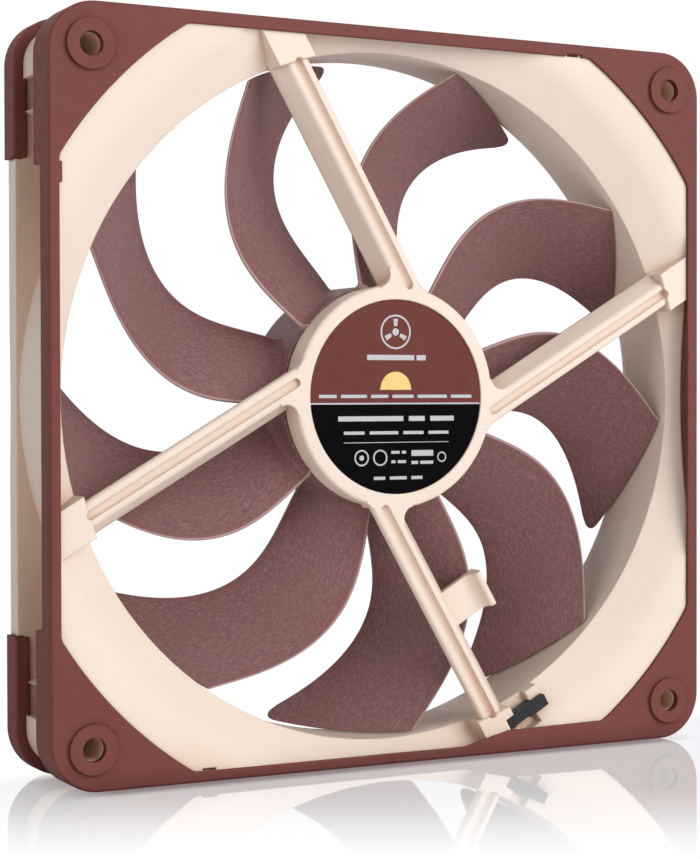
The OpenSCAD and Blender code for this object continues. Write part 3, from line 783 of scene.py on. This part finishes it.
# ------------------------------------------------------------------ inlet pads
PAD_FROM = 43.9         # where the pad starts along each side
PAD_INNER_R = 78.6
PAD_STATIONS = [46.5, 50.0, 55.0, 59.0]


def corner_path(side):
    """Up the right side through the given stations, round the corner and back along the top."""
    return [(HALF, y) for y in side] + CORNER + [(x, HALF) for x in side[::-1]]


def pad_plate(build):
    face = INLET_FACE - RUBBER
    rim = 0.5
    inner_x = math.sqrt(PAD_INNER_R * PAD_INNER_R - PAD_FROM * PAD_FROM)
    start = math.degrees(math.atan2(inner_x, PAD_FROM))
    end = math.degrees(math.atan2(PAD_FROM, inner_x))
    outline = corner_path([PAD_FROM] + PAD_STATIONS)
    outline += arc(0, 0, PAD_INNER_R, start, end, 28)
    rows = [(rim * a, face + rim * b) for a, b in rounding(5)] + [(0.0, INLET_FACE)]
    rings = [build.ring(offset(outline, inset), z) for inset, z in rows]
    build.skin(rings)
    hole_face, hole_back = screw_hole(build, HOLE, HOLE, face=face, back=INLET_FACE,
                                      height=0.4, side=-1)
    build.fill([rings[0], hole_face], False)
    build.fill([rings[-1], hole_back], True)


def pad_skirt(build):
    """Closed band along the outer edge, its free edge and both ends rounded."""
    path = corner_path([PAD_FROM + d for d in (0.0, 0.12, 0.5, 1.2)] + PAD_STATIONS)
    free_z, base_z = INLET_FACE + 5.5 - RUBBER, INLET_FACE - 0.15
    lip_z = INLET_FACE + 3.95       # the lip lies beyond this
    thickness, lip_thickness = 2.0, 2.85
    edge = 0.45
    end_drops = [1.3, 0.72, 0.28, 0.05]     # of the free edge, from either end of the path
    last = len(path) - 1
    sections = []
    for i, (x, y) in enumerate(path):
        ax, ay = path[max(i - 1, 0)]
        bx, by = path[min(i + 1, last)]
        length = math.hypot(bx - ax, by - ay)
        nx, ny = -(by - ay) / length, (bx - ax) / length
        from_end = min(i, last - i)
        z_edge = free_z - (end_drops[from_end] if from_end < len(end_drops) else 0.0)
        z_lip = min(lip_z, z_edge - edge)
        section = [(0.0, base_z)]       # (inset, z)
        section += [(edge * b, z_edge - edge * a) for a, b in rounding(4)]
        section += [(lip_thickness - edge * a, z_edge - edge * b) for a, b in rounding(4)]
        section += [(lip_thickness, z_lip), (thickness, z_lip), (thickness, base_z)]
        sections.append(build.ring([(x + nx * d, y + ny * d, z) for d, z in section]))
    build.skin(sections)
    build.face(sections[0])
    build.face(sections[-1][::-1])


def inlet_pad(k, name):
    """Built at the top right and turned by k quarter turns."""
    build = Builder()
    pad_plate(build)
    pad_skirt(build)
    turned = []
    for x, y, z in build.points:
        x, z = quarter_turn(x, z, k)
        turned.append((x, y, z))
    build.points = turned
    ob = build.make(name + "_moulding", [MATERIALS["rubber"]])
    register(ob, "frame_body", stands_for=name)


PADS = ["inlet_pad_top_right", "inlet_pad_top_left", "inlet_pad_bottom_left",
        "inlet_pad_bottom_right"]
for k, name in enumerate(PADS):
    inlet_pad(k, name)

# ------------------------------------------------------------------ hub label
LABEL_R = 18.57
LABEL_TOP, LABEL_BOTTOM = OUTLET_FACE - 0.9, OUTLET_FACE - 1.2
LABEL_SPLIT = -1.3      # y of the line between the brown and the black part


def label_disc():
    build = Builder()
    start = math.degrees(math.asin(LABEL_SPLIT / LABEL_R))
    for slot, (a, b) in enumerate([(start, 180 - start), (180 - start, 360 + start)]):
        slab(build, arc(0, 0, LABEL_R, a, b, 72), [], LABEL_TOP, LABEL_BOTTOM,
             rim=0.04, steps=2, slot=slot)
    ob = build.make("hub_label_disc", [MATERIALS["label_brown"], MATERIALS["label_black"]])
    register(ob, "frame_body", stands_for="hub_label")


def label_print():
    """Plain bars and shapes in place of print."""
    build = Builder()

    def shape(outer, holes=(), slot=0):
        slab(build, outer, list(holes), LABEL_TOP + 0.02, LABEL_TOP - 0.005, slot=slot)

    def bar(x0, y0, x1, y1):
        shape([(x0, y0), (x1, y0), (x1, y1), (x0, y1)])

    def ring(cx, cy, outer, inner):
        shape(circle(outer, 40, cx, cy), [circle(inner, 40, cx, cy, clockwise=True)])

    def disc(cx, cy, radius):
        shape(circle(radius, 28, cx, cy))

    def dashes(x0, x1, y, height, lengths, gap):
        """A row of bars from x0 to x1, with the given relative lengths."""
        unit = (x1 - x0 - gap * (len(lengths) - 1)) / sum(lengths)
        x = x0
        for length in lengths:
            bar(x, y - height / 2, x + length * unit, y + height / 2)
            x += length * unit + gap

    # divider, running right across
    half = math.sqrt(LABEL_R * LABEL_R - LABEL_SPLIT * LABEL_SPLIT) - 0.05
    bar(-half, LABEL_SPLIT - 0.13, half, LABEL_SPLIT + 0.17)
    # round emblem: a ring, a dot and three flaring spokes
    cx, cy = -0.2, 12.4
    ring(cx, cy, 3.3, 2.95)
    disc(cx, cy, 0.7)
    for k in range(3):
        angle = math.radians(90 + 120 * k)
        ux, uy = math.cos(angle), math.sin(angle)
        # (distance out, distance across)
        spoke = [(1.1, -0.35), (2.5, -0.5), (2.5, 0.5), (1.1, 0.35)]
        shape([(cx + ux * d - uy * e, cy + uy * d + ux * e) for d, e in spoke])
    dashes(-6.4, 6.4, 7.5, 1.0, [5, 1], gap=0.5)
    # gold half disc on a thin foot
    foot = [(-3.6, 1.5), (-3.6, 1.35), (3.2, 1.35), (3.2, 1.5)]
    shape(arc(cx, 1.5, 3.3, 8, 172, 30) + foot, slot=1)
    dashes(-16.6, 16.6, 0.1, 0.62, [4, 6, 4, 5, 7, 5], gap=0.9)
    # black part
    dashes(-12.6, 12.6, -4.15, 0.95, [8, 2, 3], gap=1.2)
    dashes(-11.4, 11.4, -6.85, 0.6, [5, 7, 5, 5], gap=1.1)
    bar(-11.4, -8.75, 11.4, -8.62)
    ring(-7.6, -11.6, 1.55, 1.25)
    disc(-7.6, -11.6, 0.5)
    ring(-3.6, -11.6, 1.55, 1.25)
    dashes(-1.2, 2.0, -10.6, 0.55, [2, 1], gap=0.5)
    dashes(-1.2, 2.0, -12.4, 0.55, [1, 2], gap=0.5)
    dashes(3.2, 8.0, -10.8, 1.1, [3], gap=0.6)
    dashes(3.2, 8.0, -12.6, 0.6, [1, 2], gap=0.5)
    ring(9.9, -11.6, 1.0, 0.75)
    dashes(-5.0, 5.6, -15.5, 0.6, [2, 3, 2], gap=1.0)
    ob = build.make("hub_label_print", [MATERIALS["print_silver"], MATERIALS["print_gold"]],
                    sharp_angle=None, weighted=False)
    register(ob, "frame_body")


label_disc()
label_print()

# ------------------------------------------------------------------ CAD pieces
# the pieces shown as they are, each with one of the materials
FINISH = {
    "frame": "frame", "bearing_shell": "brass", "sleeve_bearing": "sintered_bronze",
    "thrust_disc": "white_plastic", "stabiliser_magnet": "magnet",
    "stator_core": "lamination", "front_insulator": "black_plastic",
    "back_insulator": "black_plastic", "stator_coils": "copper", "terminal_pins": "tinned",
    "circuit_board": "board", "driver_chip": "chip", "hall_sensor": "chip",
    "board_components": "ceramic_part", "lead_clip": "clip", "lead_wires": "wire",
    "lead_sleeve": "sleeve", "connector_housing": "black_plastic",
    "connector_contacts": "brass", "rotor_yoke": "steel", "ring_magnet": "magnet",
    "shaft_boss": "brass", "rotor_shaft": "polished_steel",
    "retaining_clip": "white_plastic",
}
# the pieces that the built ones stand for
REPLACED = {
    "outlet_gasket": "rubber", **{pad: "rubber" for pad in PADS},
    "impeller": "fibre", "hub_label": "label_brown",
}


def set_material(ob, key):
    ob.data.materials.clear()
    ob.data.materials.append(MATERIALS[key])


for name, key in FINISH.items():
    ob = nodes[name]
    set_material(ob, key)
    weld = ob.modifiers.new("weld", "WELD")
    weld.merge_threshold = 1e-6
    for polygon in ob.data.polygons:
        polygon.use_smooth = True
    split = ob.modifiers.new("split", "EDGE_SPLIT")
    split.split_angle = math.radians(32)
for name, key in REPLACED.items():
    set_material(nodes[name], key)


# ------------------------------------------------------------------ camera
def add_camera():
    data = bpy.data.cameras.new("camera")
    camera = bpy.data.objects.new("camera", data)
    scene.collection.objects.link(camera)
    data.lens = 86.0
    data.sensor_width = 36.0
    data.sensor_fit = "AUTO"
    data.clip_start = 0.01
    data.clip_end = 20
    right = Vector((0.8865122, -0.46269964, -0.00227036))
    down = Vector((-0.00945587, -0.0132109, -0.99986802))
    ahead = Vector((0.46260858, 0.88641667, -0.01608685))
    place = Vector((-0.189351, -0.354399, 0.0000874))
    turn = Matrix((right, -down, -ahead)).transposed()
    camera.matrix_world = Matrix.Translation(place) @ turn.to_4x4()
    scene.camera = camera


add_camera()


# ------------------------------------------------------------------ floor, lights and world
def floor_material():
    """White to the light; the camera sees a glow with a painted shadow under the fan, and a
    mirror that fades in front.
    """
    m = new_material("floor_white")
    white = (1, 1, 1)
    # for all but camera rays the floor glows faintly: painted light, a soft fill from below
    lit = m.principled({
        "Base Color": m.ramp(m.noise(scale=2.0), (0.80, 0.785, 0.81), (0.82, 0.805, 0.83)),
        "Roughness": 0.6,
        "Specular IOR Level": 0.0,
        "Emission Color": white,
        "Emission Strength": 0.20,
    })
    mirror = m.add("BsdfGlossy", {"Roughness": 0.03, "Color": (0.96, 0.945, 1.0)})
    # distance along the line of sight: the reflection fades towards the viewer
    sight = (0.4626, 0.8866, 0.0)
    along = m.add("VectorMath", {0: m.coord, 1: sight})
    along.operation = "DOT_PRODUCT"
    near = m.remap(along.outputs["Value"], to=(0.0, 0.50), span=(-0.10, -0.03), smooth=True)
    # painted shadow: the glow darkens along the front of the fan's foot and under the fan
    place = m.add("SeparateXYZ", {0: m.coord})
    contact = m.remap(place.outputs[1], to=(0.0, 1.0), span=(-0.0175, -0.0125), smooth=True)
    inside = m.remap(m.math("ABSOLUTE", place.outputs[0]), to=(1.0, 0.0), span=(0.058, 0.070))
    before = m.remap(place.outputs[1], to=(1.0, 0.0), span=(0.004, 0.012))
    painted_shadow = m.math("MULTIPLY", m.math("MULTIPLY", contact, inside), before)
    glow = m.add("Emission", {"Strength": 1.03,
                              "Color": m.mix(painted_shadow, white, (0.50, 0.40, 0.42))})
    seen = m.mix_shader(m.math("MULTIPLY", near, before), glow.outputs[0], mirror.outputs[0])
    m.show(m.mix_shader(m.add("LightPath").outputs["Is Camera Ray"], lit, seen))
    return m.owner


def add_floor():
    size, z = 3, -0.0702
    mesh = bpy.data.meshes.new("floor")
    corners = [(-size, -size, z), (size, -size, z), (size, size, z), (-size, size, z)]
    mesh.from_pydata(corners, [], [(0, 1, 2, 3)])
    floor = bpy.data.objects.new("floor", mesh)
    scene.collection.objects.link(floor)
    mesh.materials.append(floor_material())


def lamp(name, place, size, power, color=(1, 1, 1), target=(0, 0, 0)):
    """Square area light aimed at the target."""
    data = bpy.data.lights.new(name, "AREA")
    data.shape = "RECTANGLE"
    data.size = size
    data.size_y = size
    data.energy = power
    data.color = color
    ob = bpy.data.objects.new(name, data)
    scene.collection.objects.link(ob)
    ob.location = place
    ob.rotation_mode = "QUATERNION"
    ob.rotation_quaternion = (Vector(target) - Vector(place)).to_track_quat("-Z", "Y")
    ob.visible_camera = False


def add_world():
    """Dim to light the fan, white to the camera and mostly white in reflections."""
    world = bpy.data.worlds.new("studio")
    scene.world = world
    w = Nodes(world)
    path = w.add("LightPath").outputs
    ambient = w.add("Background", {"Color": (1, 1, 1), "Strength": 0.12})
    seen = w.add("Background", {"Color": (1, 1, 1), "Strength": 1.02})
    reflected_share = 0.8
    glossy = w.math("MULTIPLY", path["Is Glossy Ray"], reflected_share)
    either = w.math("MAXIMUM", path["Is Camera Ray"], glossy)
    w.show(w.mix_shader(either, ambient.outputs[0], seen.outputs[0]), "OutputWorld")


add_floor()
lamp("key", place=(0.58, -1.08, 0.50), size=1.05, power=13.3, color=(1.0, 0.99, 0.975))
lamp("left", place=(-1.2, -0.65, 0.35), size=0.8, power=3.9, color=(1.0, 0.985, 0.98))
lamp("low", place=(0.15, -1.25, 0.10), size=0.7, power=0.8, color=(1.0, 0.985, 0.97),
     target=(0, 0, 0.02))
lamp("top", place=(0.1, -0.1, 1.3), size=1.0, power=2.5)
add_world()

scene.view_settings.view_transform = "Standard"
scene.view_settings.look = "None"
scene.view_settings.exposure = 0.0

bpy.context.view_layer.update()
